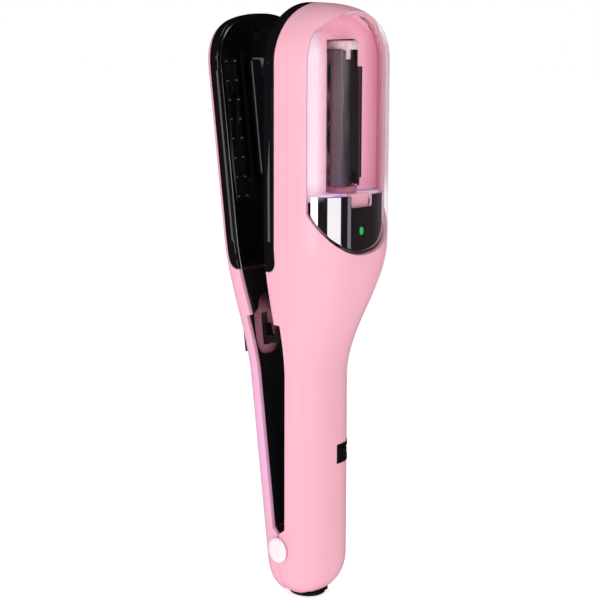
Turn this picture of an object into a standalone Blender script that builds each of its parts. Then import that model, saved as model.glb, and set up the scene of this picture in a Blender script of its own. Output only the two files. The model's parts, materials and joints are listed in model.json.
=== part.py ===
"""Cordless split-end hair trimmer: a main half with a cutter and a clipping chamber, and a spring-opened press arm.

All sizes below are in millimetres; the meshes are written in metres.
Frame: X is across the tool, -Y is the chamber side, +Y is the press arm's side, +Z runs up the tool.
The origin lies on the base cap's underside, in the plane where the two closed halves meet.
"""

import math

import bmesh
import bpy
import numpy as np
from mathutils import Matrix, Vector

MM = 0.001
GAP = 0.3

# Driving sizes of the closed tool
LENGTH = 255.0
ARM_LENGTH = 252.0
HEAD_HALF_WIDTH = 25.0
HEAD_DEPTH = 33.9
HANDLE_HALF_WIDTH = 16.6
HANDLE_DEPTH = 15.6
ARM_DEPTH = 12.2
TOP_RADIUS = 24.0
BOTTOM_RADIUS = 19.0
MAIN_CROWN, ARM_CROWN = 2.0, 2.6
NECK_LOW, NECK_HIGH = 98.0, 158.0
MAIN_WALL = 2.0
ARM_WALL = 1.8
HINGE_Z = 22.5
OPEN_ANGLE = 7.9

# Parting edges of the two halves
BASE_TOP_Z = 1.6
SLOT_LOW_Z = 32.0
MAIN_SLOT_HIGH_Z, ARM_SLOT_HIGH_Z = 122.0, 125.0
MAIN_RECESS, ARM_RECESS = 3.5, 2.7
RECESS_CHAMFER = 2.6
PLATE_LOW_Z = 145.0
PLATE_CORNER = 5.0
PLATE_DEPTH = 5.8
PLATE_FACE = 2.2
ARM_PLATE_DEPTH = 5.6
ARM_FLOOR_Y = 2.0
ARM_CREST_Y = 0.35
BAR_CREST_Y = -1.8
BAR_CORNER = 2.0

# Chamber and window
WINDOW_Y = 22.6
WINDOW_HALF_WIDTH, WINDOW_LOW_HALF_WIDTH = 24.6, 22.8
WINDOW_BEND_Z, WINDOW_BEND_RADIUS = 175.6, 22.0
WINDOW_ARCH_Z, WINDOW_TOP_Z = 229.0, 251.8
COVER_WALL = 1.6
LINER_BACK_Y = 19.3
LAMP_Z = 163.5
FLOOR_LOW_Z, FLOOR_HIGH_Z = 175.5, 178.0

# Cutter
ROLLER_Y = 11.2
ROLLER_RADIUS = 6.9
ROLLER_CORE = 4.0
ROLLER_LOW_Z, ROLLER_HIGH_Z = 183.5, 233.0
SHAFT_RADIUS = 1.5
GUARD_Y, GUARD_RADIUS, GUARD_WALL = 21.4, 6.4, 0.7
GUARD_LOW_Z, GUARD_HIGH_Z = 181.4, 236.2
UPPER_BLOCK_Z = (236.5, 239.8)
LOWER_BLOCK_Z = (178.3, 181.1)
UPPER_BUSH_Z = (236.0, 240.2)
LOWER_BUSH_Z = (177.8, 181.5)
GEAR_MODULE = 0.5
ROLLER_TEETH, PINION_TEETH = 20, 10
GEAR_DISTANCE = GEAR_MODULE * (ROLLER_TEETH + PINION_TEETH) / 2
MOTOR_Y = 16.0
MOTOR_X = (GEAR_DISTANCE**2 - (MOTOR_Y - ROLLER_Y) ** 2) ** 0.5
MOTOR_RADIUS = 6.9
SLOT_HALF_WIDTH = 8.2
CUT_LOW_Z, CUT_HIGH_Z = 181.5, 235.0

# Lock between the halves
LOCK_X, LOCK_Z = -8.5, 118.5
LOCK_HALF_WIDTH, LOCK_HALF_HEIGHT = 7.2, 13.4
LOCK_WINDOW_Z = 120.2

# Power switch on the +X and -Y corner of the handle
SWITCH_Z, SWITCH_HEIGHT, SWITCH_WIDTH = 64.7, 9.0, 17.0
SWITCH_TRAVEL = 4.0
SWITCH_TURN = 45.0
SWITCH_BASE_Y = 1.0
SWITCH_FACE = 16.2

# Screws, as name, x and z
HEAD_SCREWS = [
    ("head_screw_top", 0.0, 246.0),
    ("head_screw_left", -16.5, 156.0),
    ("head_screw_right", 16.5, 156.0),
]
LINER_SCREWS = [("liner_screw_upper", 6.5, 112.5), ("liner_screw_lower", 0.0, 38.0)]
ARM_SCREW_Z = 242.6
ARM_LINER_SCREW_Z = 60.0

# Comb pins in the arm's tray
PIN_ROWS = 8
PIN_LOW_Z, PIN_PITCH = 175.6, 8.1
PIN_COLUMNS = (15.0, 19.8)

COLOURS = {
    "pink_plastic": ((0.86, 0.42, 0.50), 0.35, 0.0),
    "pale_pink_plastic": ((0.90, 0.72, 0.78), 0.3, 0.0),
    "black_gloss": ((0.010, 0.010, 0.012), 0.08, 0.0),
    "black_matte": ((0.015, 0.015, 0.017), 0.5, 0.0),
    "clear_cover": ((0.95, 0.80, 0.86), 0.05, 0.0),
    "chrome_trim": ((0.75, 0.75, 0.77), 0.06, 1.0),
    "grey_metal": ((0.28, 0.26, 0.28), 0.3, 1.0),
    "steel": ((0.62, 0.62, 0.64), 0.25, 1.0),
    "bronze": ((0.66, 0.38, 0.20), 0.3, 1.0),
    "cream_plastic": ((0.80, 0.66, 0.66), 0.4, 0.0),
    "lilac_plastic": ((0.78, 0.60, 0.82), 0.3, 0.0),
    "dark_pink_plastic": ((0.40, 0.10, 0.16), 0.4, 0.0),
    "green_led": ((0.05, 0.75, 0.12), 0.2, 0.0),
    "board_green": ((0.03, 0.20, 0.08), 0.5, 0.0),
    "battery_blue": ((0.05, 0.16, 0.42), 0.4, 0.0),
}


def clear_scene():
    for old in list(bpy.data.objects):
        bpy.data.objects.remove(old)


def material(name):
    found = bpy.data.materials.get(name)
    if found:
        return found
    colour, roughness, metallic = COLOURS[name]
    made = bpy.data.materials.new(name)
    made.use_nodes = True
    shader = made.node_tree.nodes["Principled BSDF"]
    shader.inputs["Base Color"].default_value = (*colour, 1)
    shader.inputs["Roughness"].default_value = roughness
    shader.inputs["Metallic"].default_value = metallic
    return made


class Group:
    """An empty on a joint's axis. Its members' points are given in the closed tool's frame."""

    def __init__(self, name, origin=(0, 0, 0), parent=None):
        self.origin = Vector(origin)
        self.empty = bpy.data.objects.new(name, None)
        bpy.context.scene.collection.objects.link(self.empty)
        if parent:
            self.empty.parent = parent.empty
            self.empty.location = (self.origin - parent.origin) * MM
        else:
            self.empty.location = self.origin * MM


def add(name, points, faces, slot, group):
    """A mesh object from points in millimetres in the closed frame."""
    moved = (np.array(points, float) - np.array(group.origin)) * MM
    mesh = bpy.data.meshes.new(name)
    mesh.from_pydata([tuple(p) for p in moved], [], [list(f) for f in faces])
    tool = bmesh.new()
    tool.from_mesh(mesh)
    bmesh.ops.recalc_face_normals(tool, faces=tool.faces)
    tool.to_mesh(mesh)
    tool.free()
    mesh.shade_smooth()
    mesh.set_sharp_from_angle(angle=math.radians(35))
    made = bpy.data.objects.new(name, mesh)
    made.parent = group.empty
    bpy.context.scene.collection.objects.link(made)
    if slot:
        mesh.materials.append(material(slot))
    return made


def helper(name, points, faces, group):
    made = add(name, points, faces, None, group)
    made.hide_render = True
    made.display_type = "WIRE"
    return made


def combine(target, other, operation):
    step = target.modifiers.new(operation.lower(), "BOOLEAN")
    step.operation = operation
    step.object = other
    step.solver = "EXACT"
    return target


def cut(target, *cutters):
    for cutter in cutters:
        combine(target, cutter, "DIFFERENCE")
    return target


def keep(target, region):
    return combine(target, region, "INTERSECT")


def join(target, other):
    return combine(target, other, "UNION")


# ---- plain shapes, as (points, faces) ----


def rings_solid(rings):
    """Equal rings of points joined side by side, with both ends capped."""
    count = len(rings[0])
    points = [p for ring in rings for p in ring]
    faces = []
    for level in range(len(rings) - 1):
        for k in range(count):
            a = level * count + k
            b = level * count + (k + 1) % count
            faces.append((a, b, b + count, a + count))
    faces.append(tuple(range(count)))
    faces.append(tuple(range(len(points) - count, len(points))))
    return points, faces


def block(low, high):
    (x0, y0, z0), (x1, y1, z1) = low, high
    return rings_solid([[(x0, y0, z), (x1, y0, z), (x1, y1, z), (x0, y1, z)] for z in (z0, z1)])


def prism_y(outline, y0, y1):
    """An XZ outline carried along Y."""
    return rings_solid([[(x, y, z) for x, z in outline] for y in (y0, y1)])


def prism_x(outline, x0, x1):
    """A YZ outline carried along X."""
    return rings_solid([[(x, y, z) for y, z in outline] for x in (x0, x1)])


def prism_z(outline, z0, z1):
    """An XY outline carried along Z."""
    return rings_solid([[(x, y, z) for x, y in outline] for z in (z0, z1)])


def circle(centre, radius, count=24, start=0.0):
    turns = [start + 2 * math.pi * k / count for k in range(count)]
    return [(centre[0] + radius * math.cos(t), centre[1] + radius * math.sin(t)) for t in turns]


def ellipse(centre, half_width, half_height, count=32):
    turns = [2 * math.pi * k / count for k in range(count)]
    return [(centre[0] + half_width * math.cos(t), centre[1] + half_height * math.sin(t)) for t in turns]


def rounded_window(inset):
    """The lock's window in the arm liner: long straight sides and well rounded ends."""
    turns = [2 * math.pi * k / 36 for k in range(36)]
    width, height = LOCK_HALF_WIDTH - inset, LOCK_HALF_HEIGHT - inset
    return [
        (
            LOCK_X + width * math.copysign(abs(math.cos(t)) ** 0.55, math.cos(t)),
            LOCK_WINDOW_Z + height * math.copysign(abs(math.sin(t)) ** 0.75, math.sin(t)),
        )
        for t in turns
    ]


def turned_x(profile, y, z, count=24):
    """A profile of (x, radius) turned about an axis along X."""
    return rings_solid(
        [[(x, a, b) for a, b in circle((y, z), radius, count)] for x, radius in profile]
    )


def turned_y(profile, x, z, count=20):
    """A profile of (y, radius) turned about an axis along Y."""
    return rings_solid(
        [[(a, y, b) for a, b in circle((x, z), radius, count)] for y, radius in profile]
    )


def turned_z(profile, x, y, count=24):
    """A profile of (z, radius) turned about an axis along Z."""
    return rings_solid(
        [[(a, b, z) for a, b in circle((x, y), radius, count)] for z, radius in profile]
    )


# ---- the tool's outer form ----


def ease(t):
    t = min(1.0, max(0.0, t))
    return t * t * (3 - 2 * t)


def between(low, high, z):
    """From the handle's value to the head's value, with an S-curve over the neck."""
    return low + (high - low) * ease((z - NECK_LOW) / (NECK_HIGH - NECK_LOW))


def end_share(z, inset, power_top, power_low, length=LENGTH):
    """How much of the full size is left at z, as the round ends close."""
    top_centre = length - TOP_RADIUS
    power, t = 1, 0.0
    if z > top_centre:
        power, t = power_top, (z - top_centre) / (TOP_RADIUS - inset)
    if z < BOTTOM_RADIUS:
        power, t = power_low, (BOTTOM_RADIUS - z) / (BOTTOM_RADIUS - inset)
    return max(0.0, 1 - t**power) ** (1 / power)


def half_width(z, inset=0.0, length=LENGTH):
    full = between(HANDLE_HALF_WIDTH, HEAD_HALF_WIDTH, z)
    crown = MAIN_CROWN if length == LENGTH else ARM_CROWN
    return (full - inset) * end_share(z, inset, crown, 2.3, length)


def main_depth(z, inset=0.0):
    return (between(HANDLE_DEPTH, HEAD_DEPTH, z) - inset) * end_share(z, inset, 3.4, 2)


def arm_depth(z, inset=0.0):
    return (ARM_DEPTH - inset) * end_share(z, inset, 3.4, 3.4, ARM_LENGTH)


def heights(inset, length):
    """Levels that are close together where the ends round off."""
    steps = [math.radians(a) for a in (87, 75, 60, 45, 30, 15)]
    low = [BOTTOM_RADIUS - (BOTTOM_RADIUS - inset) * math.sin(a) for a in steps]
    top_centre = length - TOP_RADIUS
    high = [top_centre + (TOP_RADIUS - inset) * math.sin(a) for a in reversed(steps)]
    neck = list(np.linspace(NECK_LOW, NECK_HIGH, 9))
    return low + [BOTTOM_RADIUS, 58.0] + neck + [190.0, top_centre] + high


def half_form(depth, side, power_low, power_high, inset, back, length, count=22):
    """One half of the tool, as rings of a half superellipse closed at the plane y = back on the far side."""
    rings = []
    for z in heights(inset, length):
        width = max(half_width(z, inset, length), 0.3)
        deep = max(depth(z, inset), 0.3)
        power = between(power_low, power_high, z)
        ring = []
        for k in range(count + 1):
            t = math.pi * k / count
            x = width * math.copysign(abs(math.cos(t)) ** (2 / power), math.cos(t))
            y = side * deep * abs(math.sin(t)) ** (2 / power)
            ring.append((x, y, z))
        if back:
            ring += [(-width, -side * back, z), (width, -side * back, z)]
        rings.append(ring)
    return rings_solid(rings)


def main_form(inset=0.0, back=0.0):
    return half_form(main_depth, -1, 2.4, 3.1, inset, back, LENGTH)


def arm_form(inset=0.0, back=0.0):
    return half_form(arm_depth, 1, 4.0, 4.0, inset, back, ARM_LENGTH)


def outline_xz(inset, z_low, length=LENGTH, count=14):
    """The outline of a half seen from the front, from z_low to its top."""
    top_centre = length - TOP_RADIUS
    levels = list(np.linspace(z_low, NECK_HIGH + 4, count))
    reach = TOP_RADIUS - inset
    levels += [top_centre + reach * math.sin(math.radians(a)) for a in (0, 15, 30, 45, 60, 72, 84)]
    right = [(half_width(z, inset, length), z) for z in levels]
    return right + [(-x, z) for x, z in reversed(right)]


def plate_side(side, depth, z_low):
    """A head plate seen from the side: flat in the parting plane, rounded at its lower outer corner."""
    turns = [math.radians(a) for a in range(0, 91, 15)]
    corner = PLATE_CORNER
    arc = [
        (side * (depth - corner + corner * math.sin(t)), z_low + corner - corner * math.cos(t))
        for t in turns
    ]
    return [(-side, z_low)] + arc + [(side * depth, LENGTH + 5), (-side, LENGTH + 5)]


def recess_side(side, depth, z_high):
    """The cut beside a handle liner seen from the side: chamfered below, square above."""
    return [
        (-side * 5, SLOT_LOW_Z - RECESS_CHAMFER),
        (0, SLOT_LOW_Z - RECESS_CHAMFER),
        (side * depth, SLOT_LOW_Z),
        (side * depth, z_high),
        (-side * 5, z_high),
    ]


def window_outline(inset):
    """The window seen from the front: a half oval below, straight sides and a half oval above."""
    turns = [math.pi + math.pi * k / 20 for k in range(21)]
    width, low_width = WINDOW_HALF_WIDTH - inset, WINDOW_LOW_HALF_WIDTH - inset
    low, high = WINDOW_BEND_RADIUS - inset, WINDOW_TOP_Z - WINDOW_ARCH_Z - inset
    below = [(low_width * math.cos(t), WINDOW_BEND_Z + low * math.sin(t)) for t in turns]
    above = [(-width * math.cos(t), WINDOW_ARCH_Z - high * math.sin(t)) for t in turns]
    return below + above


def window_prism(inset, front_gap=0.0):
    return prism_y(window_outline(inset), -HEAD_DEPTH - 12, -WINDOW_Y - front_gap)


# ---- main half ----


def switch_box(centre_out, length, height, depth, group, name):
    """A box whose outer face looks out from the handle's corner at SWITCH_TURN from +X towards -Y."""
    turn = math.radians(-SWITCH_TURN)
    outward = Vector((math.cos(turn), math.sin(turn), 0))
    across = Vector((-outward.y, outward.x, 0))
    rings = []
    for z in (SWITCH_Z - height / 2, SWITCH_Z + height / 2):
        ring = []
        for a, b in ((-1, 0), (1, 0), (1, 1), (-1, 1)):
            p = outward * (centre_out - depth * b) + across * (a * length / 2)
            ring.append((p.x, p.y - SWITCH_BASE_Y, z))
        rings.append(ring)
    points, faces = rings_solid(rings)
    return helper(name, points, faces, group)


def make_main_shell(body):
    shell = add("main_shell", *main_form(), "pink_plastic", body)
    cutters = [
        helper("cut_main_cavity", *main_form(MAIN_WALL, back=4), body),
        helper("cut_main_base", *block((-30, -40, -10), (30, 5, BASE_TOP_Z)), body),
        helper("cut_main_recess", *prism_x(recess_side(-1, MAIN_RECESS, MAIN_SLOT_HIGH_Z), -40, 40), body),
        helper(
            "cut_main_plate_seat",
            *prism_x(plate_side(-1, PLATE_DEPTH + GAP, PLATE_LOW_Z), -40, 40),
            body,
        ),
        helper("cut_main_window", *window_prism(0.0), body),
        helper("cut_main_port", *block((-6.5, -7.3, -2), (6.5, -0.7, 9)), body),
        helper("cut_main_pin", *turned_x([(-30, 2.8), (30, 2.8)], 0, HINGE_Z), body),
        switch_box(SWITCH_FACE + 6, SWITCH_WIDTH, SWITCH_HEIGHT, 18, body, "cut_switch_window"),
    ]
    return cut(shell, *cutters)


def make_clear_cover(cover):
    made = add("chamber_cover", *main_form(), "clear_cover", cover)
    keep(made, helper("keep_cover_front", *window_prism(GAP, GAP), cover))
    return cut(made, helper("cut_cover_cavity", *main_form(COVER_WALL, back=4), cover))


def make_front_panel(body):
    """The bright trim behind the cover's lower part, with a notch and a hole for the lamp."""
    outer = COVER_WALL + GAP
    made = add("front_panel", *main_form(outer), "chrome_trim", body)
    region = prism_y(window_outline(1.6), -HEAD_DEPTH - 5, -WINDOW_Y - GAP)
    keep(made, helper("keep_panel", *region, body))
    cutters = [
        helper("cut_panel_cavity", *main_form(outer + 1.3, back=4), body),
        helper("cut_panel_top", *block((-40, -50, FLOOR_HIGH_Z), (40, 5, 300)), body),
        helper("cut_panel_notch", *block((-5.8, -50, FLOOR_HIGH_Z - 4.8), (5.8, -20, 180)), body),
        helper("cut_panel_lamp", *prism_y(ellipse((0, LAMP_Z), 1.4, 2.0, 16), -50, -20), body),
    ]
    return cut(made, *cutters)


def make_latch_tab(body):
    made = add(
        "cover_latch_tab",
        *block((-5.4, -30.2, FLOOR_HIGH_Z - 8), (5.4, -28.7, FLOOR_HIGH_Z + 0.6)),
        "pink_plastic",
        body,
    )
    return made


def make_led_lens(body):
    return add(
        "led_lens",
        *prism_y(ellipse((0, LAMP_Z), 1.1, 1.7, 16), -32.0, -27.7),
        "green_led",
        body,
    )


def make_head_plate(body):
    """Black tray on the cutting side, flush with the shell's sides, with the long cutting slot."""
    made = add("head_plate", *main_form(0.0, back=0.0), "black_gloss", body)
    region = prism_x(plate_side(-1, PLATE_DEPTH, PLATE_LOW_Z + GAP), -40, 40)
    keep(made, helper("keep_head_plate", *region, body))
    hollow = prism_y(outline_xz(MAIN_WALL, PLATE_LOW_Z + 3), -PLATE_DEPTH - 5, -PLATE_FACE)
    slot = block((-SLOT_HALF_WIDTH, -9, CUT_LOW_Z), (SLOT_HALF_WIDTH, 2, CUT_HIGH_Z))
    cut(made, helper("cut_head_plate_hollow", *hollow, body))
    cut(made, helper("cut_head_plate_slot", *slot, body))
    for name, x, z in HEAD_SCREWS:
        hole = turned_y([(-6, 1.7), (-1.8, 1.7), (-1.7, 2.6), (2, 2.6)], x, z)
        cut(made, helper("cut_" + name, *hole, body))
    return made


def comb_outline(side):
    """A bar beside the slot with thin teeth that reach over it."""
    bar_out, bar_in, tip = 12.5, 8.8, 3.6
    pitch, tooth = 2.4, 1.0
    low = CUT_LOW_Z + 2.5
    points = [(side * bar_out, low - 1.5)]
    z = low
    while z < CUT_HIGH_Z - 3:
        points += [(side * bar_in, z), (side * tip, z), (side * tip, z + tooth), (side * bar_in, z + tooth)]
        z += pitch
    points.append((side * bar_out, CUT_HIGH_Z - 1))
    return points


def make_combs(body):
    for name, side in (("comb_left", -1), ("comb_right", 1)):
        add(name, *prism_y(comb_outline(side), -3.9, -PLATE_FACE - GAP), "black_matte", body)


def liner_outline(recess, side, z_low, step, z_high):
    """A plate seen from the side, behind the parting edges: it lies back where the halves are recessed."""
    face_low = recess + 0.2
    return [(y * side, z) for y, z in (
        (face_low, z_low),
        (face_low, step),
        (0.3, step + 2.5),
        (0.3, z_high),
        (0.3 + 1.6, z_high),
        (0.3 + 1.6, step + 3.1),
        (face_low + 1.6, step + 0.6),
        (face_low + 1.6, z_low),
    )]


def make_handle_liner(body):
    face = liner_outline(MAIN_RECESS, -1, SLOT_LOW_Z + 0.5, MAIN_SLOT_HIGH_Z, PLATE_LOW_Z - 0.5)
    made = add("handle_liner", *prism_x(face, -40, 40), "black_matte", body)
    keep(made, helper("keep_handle_liner", *main_form(MAIN_WALL + GAP, back=5), body))
    pocket = block((LOCK_X - 4, -12, LOCK_Z - 8.5), (LOCK_X + 4, 3, LOCK_Z + 7))
    cut(made, helper("cut_lock_pocket", *pocket, body))
    for name, x, z in LINER_SCREWS:
        hole = turned_y([(-9, 1.3), (5, 1.3)], x, z)
        cut(made, helper("cut_" + name, *hole, body))
    return made


def make_strike(body):
    return add(
        "lock_strike",
        *block((LOCK_X - 3.7, -3.4, LOCK_Z + 1.2), (LOCK_X + 3.7, -2.2, LOCK_Z + 12)),
        "steel",
        body,
    )


def make_screws(body):
    """Countersunk screws, each a shank and a head: (y, radius) along its axis."""
    head_profile = [(-11, 1.0), (-1.55, 1.0), (-1.5, 2.2), (-0.5, 2.3), (-0.4, 1.6)]
    for name, x, z in HEAD_SCREWS:
        add(name, *turned_y(head_profile, x, z, 16), "steel", body)
    liner_profile = [(-7.0, 1.0), (-3.45, 1.0), (-3.4, 2.2), (-2.7, 2.1), (-2.5, 1.4)]
    for name, x, z in LINER_SCREWS:
        add(name, *turned_y(liner_profile, x, z, 16), "steel", body)


def make_chamber_liner(body):
    """Pink tray that holds the cutter and lines the chamber behind the clear cover."""
    inset = MAIN_WALL + GAP
    made = add("chamber_liner", *main_form(inset), "pink_plastic", body)
    region = block((-40, -WINDOW_Y, FLOOR_HIGH_Z + GAP), (40, -LINER_BACK_Y + 1.6, LENGTH + 5))
    keep(made, helper("keep_liner", *region, body))
    hollow = prism_y(outline_xz(inset + 1.4, FLOOR_HIGH_Z - 4), -WINDOW_Y - 3, -LINER_BACK_Y)
    slot = block((-SLOT_HALF_WIDTH, -30, FLOOR_LOW_Z), (SLOT_HALF_WIDTH, -8, UPPER_BLOCK_Z[1] + 0.6))
    cut(made, helper("cut_liner_hollow", *hollow, body))
    return cut(made, helper("cut_liner_slot", *slot, body))


def make_chamber_floor(body):
    made = add("chamber_floor", *main_form(MAIN_WALL + GAP), "lilac_plastic", body)
    region = block((-40, -27.6, FLOOR_LOW_Z), (40, -8.2, FLOOR_HIGH_Z))
    keep(made, helper("keep_floor", *region, body))
    panel_room = main_form(COVER_WALL + GAP + 1.3 + GAP, back=4)
    keep(made, helper("keep_floor_inside", *panel_room, body))
    shaft_hole = turned_z([(160, 3.6), (180, 3.6)], 0, -ROLLER_Y, 20)
    cut(made, helper("cut_floor_shaft", *shaft_hole, body))
    return made


def bearing_outline(radius):
    """Straight sides behind, a half round in front, as the guard has."""
    turns = [math.pi + math.pi * k / 12 for k in range(13)]
    front = [(radius * math.cos(t), -GUARD_Y + radius * math.sin(t)) for t in turns]
    return front + [(radius, -4.6), (-radius, -4.6)]


def make_bearings(body):
    """The blocks that close the guard's ends, and the bushes pressed into them."""
    for name, (z0, z1), slot in (
        ("upper_bearing_block", UPPER_BLOCK_Z, "cream_plastic"),
        ("lower_bearing_block", LOWER_BLOCK_Z, "dark_pink_plastic"),
    ):
        made = add(name, *prism_z(bearing_outline(GUARD_RADIUS - 1.0), z0, z1), slot, body)
        if name == "upper_bearing_block":
            post = block((-3.9, -26.0, GUARD_HIGH_Z - 3.6), (-1.3, -23.0, z0 + 0.6))
            join(made, helper("join_upper_post", *post, body))
        bore = turned_z([(z0 - 5, 2.75), (z1 + 5, 2.75)], 0, -ROLLER_Y, 20)
        cut(made, helper("cut_" + name, *bore, body))
    leaf = block((-1.0, -25.8, GUARD_HIGH_Z - 3.8), (0.2, -24.6, UPPER_BLOCK_Z[0] - 0.1))
    add("bearing_leaf", *leaf, "bronze", body)
    for name, (z0, z1) in (("upper_bush", UPPER_BUSH_Z), ("lower_bush", LOWER_BUSH_Z)):
        made = add(name, *turned_z([(z0, 2.6), (z1, 2.6)], 0, -ROLLER_Y, 20), "bronze", body)
        bore = turned_z([(z0 - 2, 1.58), (z1 + 2, 1.58)], 0, -ROLLER_Y, 20)
        cut(made, helper("cut_" + name, *bore, body))


def make_guard(body):
    """Half tube over the cutter, notched at the top and arched at the foot."""
    turns = [math.pi + math.pi * k / 18 for k in range(19)]
    inner = GUARD_RADIUS - GUARD_WALL
    outer_arc = [(GUARD_RADIUS * math.cos(t), -GUARD_Y + GUARD_RADIUS * math.sin(t)) for t in turns]
    inner_arc = [(inner * math.cos(t), -GUARD_Y + inner * math.sin(t)) for t in reversed(turns)]
    foot = -LINER_BACK_Y - GAP
    outer_side = [(-GUARD_RADIUS, foot)] + outer_arc + [(GUARD_RADIUS, foot)]
    inner_side = [(inner, foot)] + inner_arc + [(-inner, foot)]
    made = add(
        "blade_guard",
        *prism_z(outer_side + inner_side, GUARD_LOW_Z, GUARD_HIGH_Z),
        "grey_metal",
        body,
    )
    notch = block((-4.2, -30, GUARD_HIGH_Z - 4.0), (7.0, -22.6, 245))
    step = block((-0.2, -30, GUARD_HIGH_Z - 7.0), (7.0, -22.4, 245))
    top = [
        (2.6 * math.cos(t), GUARD_LOW_Z + 3 + 3.5 * math.sin(t)) for t in np.linspace(0, math.pi, 9)
    ]
    arch = prism_y([(2.6, 170)] + top + [(-2.6, 170)], -30, -22)
    cut(made, helper("cut_guard_notch", *notch, body))
    cut(made, helper("cut_guard_step", *step, body))
    return cut(made, helper("cut_guard_arch", *arch, body))


def make_side_rail(body):
    return add(
        "guard_side_rail",
        *block((6.8, -23.4, 184.0), (8.0, -LINER_BACK_Y - GAP, 229.4)),
        "black_matte",
        body,
    )


def make_motor(body):
    """Motor can with a bore for its shaft, and the bracket over it that carries both shafts."""
    profile = [(133.0, 6.2), (133.6, MOTOR_RADIUS), (156.6, MOTOR_RADIUS), (157.2, 6.2)]
    motor = add("motor", *turned_z(profile, MOTOR_X, -MOTOR_Y), "steel", body)
    bore = turned_z([(150.0, 1.0), (160.0, 1.0)], MOTOR_X, -MOTOR_Y, 12)
    cut(motor, helper("cut_motor_bore", *bore, body))
    bracket = add(
        "motor_bracket",
        *block((-9.0, -20.5, 157.6), (16.0, -8.4, 159.4)),
        "black_matte",
        body,
    )
    pass_shaft = turned_z([(150.0, 2.2), (165.0, 2.2)], MOTOR_X, -MOTOR_Y, 16)
    seat = turned_z([(150.0, 1.9), (165.0, 1.9)], 0, -ROLLER_Y, 16)
    cut(bracket, helper("cut_bracket_motor", *pass_shaft, body))
    cut(bracket, helper("cut_bracket_roller", *seat, body))


def make_electrics(body):
    add("battery_cell", *block((-8.6, -11.2, 68.0), (8.6, -5.7, 108.0)), "battery_blue", body)
    add("circuit_board", *block((-9.5, -8.6, 31.0), (7.0, -7.4, 65.5)), "board_green", body)
    add("board_chip", *block((-4.0, -10.2, 44.0), (4.0, -8.9, 52.0)), "black_matte", body)
    socket = add("charge_socket", *block((-4.5, -5.6, 0.9), (4.5, -2.4, 8.6)), "steel", body)
    cut(socket, helper("cut_socket", *block((-4.2, -5.3, 0.0), (4.2, -2.7, 7.6)), body))


def make_switch(body, slide):
    """A curved plate let into the handle's corner, with a knob that slides across it."""
    plate = add("power_switch_plate", *main_form(-0.25), "black_matte", body)
    size = (SWITCH_WIDTH - 2 * GAP, SWITCH_HEIGHT - 2 * GAP)
    keep(plate, switch_box(SWITCH_FACE + 6, *size, 18, body, "keep_switch_plate"))
    cut(plate, helper("cut_switch_back", *main_form(MAIN_WALL, back=4), body))
    cut(plate, switch_box(SWITCH_FACE + 6, 10.0, 4.4, 14.0, body, "cut_switch_slot"))
    turn = math.radians(-SWITCH_TURN)
    outward = Vector((math.cos(turn), math.sin(turn), 0))
    across = Vector((-outward.y, outward.x, 0))
    rings = []
    for depth, half, tall in ((3.6, 2.5, 1.8), (0.2, 2.5, 1.8), (-0.2, 2.1, 1.4)):
        ring = []
        for a, b in ((-1, -1), (1, -1), (1, 1), (-1, 1)):
            p = outward * (SWITCH_FACE - depth) + across * (a * half - SWITCH_TRAVEL / 2)
            ring.append((p.x, p.y - SWITCH_BASE_Y, SWITCH_Z + b * tall))
        rings.append(ring)
    add("power_switch_knob", *rings_solid(rings), "black_matte", slide)


def base_ring(z, size):
    """The base cap's outline at z: an oval that lies under both halves."""
    return [(x, y, z) for x, y in ellipse((0, -0.6), size, size * 1.05, 28)]


def make_base_cap(body):
    rings = [base_ring(0, 6.9), base_ring(0.4, 7.5), base_ring(1.3, 7.9)]
    made = add("base_cap", *rings_solid(rings), "black_matte", body)
    join(made, helper("join_base_plug", *block((-6.2, -7.0, 1.0), (6.2, -1.0, 4.2)), body))
    opening = block((-4.8, -5.9, -2), (4.8, -2.1, 9))
    return cut(made, helper("cut_base_port", *opening, body))


# ---- hinge ----


def lug_outline(radius, foot_y, foot_low, foot_high):
    """A round eye about the hinge axis that runs back into a block."""
    sign = math.copysign(1, foot_y)
    turns = [math.radians(a) for a in range(-90, 91, 15)]
    eye = [(-sign * radius * math.cos(t), HINGE_Z + radius * math.sin(t)) for t in turns]
    return eye + [(foot_y, foot_high), (foot_y, foot_low)]


def make_hinge(body, arm):
    pin = [(-16.4, 1.7), (-16.1, 2.0), (16.1, 2.0), (16.4, 1.7)]
    add("hinge_pin", *turned_x(pin, 0, HINGE_Z, 20), "steel", body)
    back = block((-11.2, -9.6, HINGE_Z - 3.5), (11.2, -6.0, HINGE_Z + 7.6))
    frame = add("hinge_frame", *back, "black_matte", body)
    for side in (-1, 1):
        ear = prism_x(lug_outline(4.4, -8.0, HINGE_Z - 3.2, HINGE_Z + 6), side * 8.4, side * 11.0)
        join(frame, helper(f"join_frame_ear_{side}", *ear, body))
    bore = turned_x([(-20, 2.15), (20, 2.15)], 0, HINGE_Z, 20)
    cut(frame, helper("cut_frame_bore", *bore, body))

    back = block((-8.0, 4.6, HINGE_Z - 5), (8.0, 6.0, HINGE_Z + 8.4))
    knuckle = add("arm_knuckle", *back, "black_matte", arm)
    for side in (-1, 1):
        ear = prism_x(lug_outline(4.2, 5.4, HINGE_Z - 4.4, HINGE_Z + 7), side * 4.6, side * 8.0)
        join(knuckle, helper(f"join_knuckle_ear_{side}", *ear, arm))
    arm_bore = turned_x([(-20, 2.15), (20, 2.15)], 0, HINGE_Z, 20)
    cut(knuckle, helper("cut_knuckle_bore", *arm_bore, arm))

    for name, side in (("hinge_cap_left", -1), ("hinge_cap_right", 1)):
        profile = [(16.7, 1.4), (16.75, 5.2), (17.1, 5.6), (17.7, 5.5), (18.1, 5.0), (18.3, 3.6)]
        turned = turned_x([(side * x, radius) for x, radius in profile], 0, HINGE_Z, 28)
        add(name, *turned, "pale_pink_plastic", body)


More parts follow.
